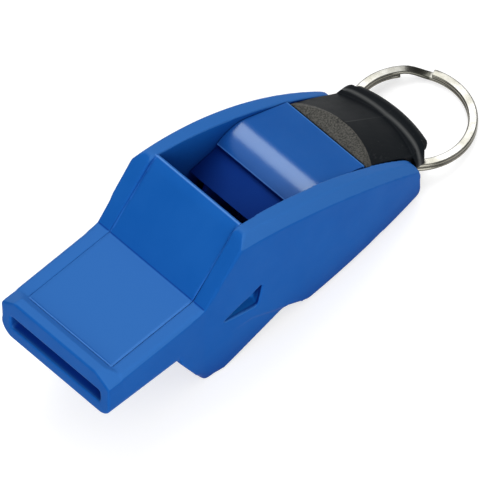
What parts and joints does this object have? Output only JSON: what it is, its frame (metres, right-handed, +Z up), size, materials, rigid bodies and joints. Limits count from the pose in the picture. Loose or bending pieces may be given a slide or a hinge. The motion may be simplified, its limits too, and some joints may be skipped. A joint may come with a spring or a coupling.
{
  "type": "sports whistle",
  "caption": "Pealess whistle with a flat slotted mouthpiece, boat-shaped side plates, labium window, side windows and a tail cap that holds a split ring",
  "frame": {"origin": "middle of the whole part's bounding box, on the table that the whistle lies on", "axes": "+X from the mouthpiece to the tail and its ring, +Y across the whistle, +Z up from the table. The whistle lies on its chin and belly, as in the picture"},
  "size_m": [0.075, 0.022, 0.0244],
  "materials": {
    "shell": "moulded satin plastic",
    "cover": "moulded satin plastic",
    "roof": "moulded satin plastic",
    "inner": "moulded plastic",
    "cap": "moulded black plastic",
    "ring": "bright nickel plated flat wire"
  },
  "bodies": {
    "whistle": {"body": "shell", "mouth_cover": "cover", "windway_core": "inner", "chamber_tray": "inner", "chamber_roof": "roof", "side_insert_left": "inner", "side_insert_right": "inner", "end_cap": "cap"},
    "ring": {"split_ring": "ring"}
  },
  "joints": [
    {"name": "ring_swing", "type": "hinge", "parent": "whistle", "child": "ring", "pos_m": [0.02082, 0, 0.00287], "axis": [0, -1, 0], "range_deg": [-70, 15]}
  ]
}
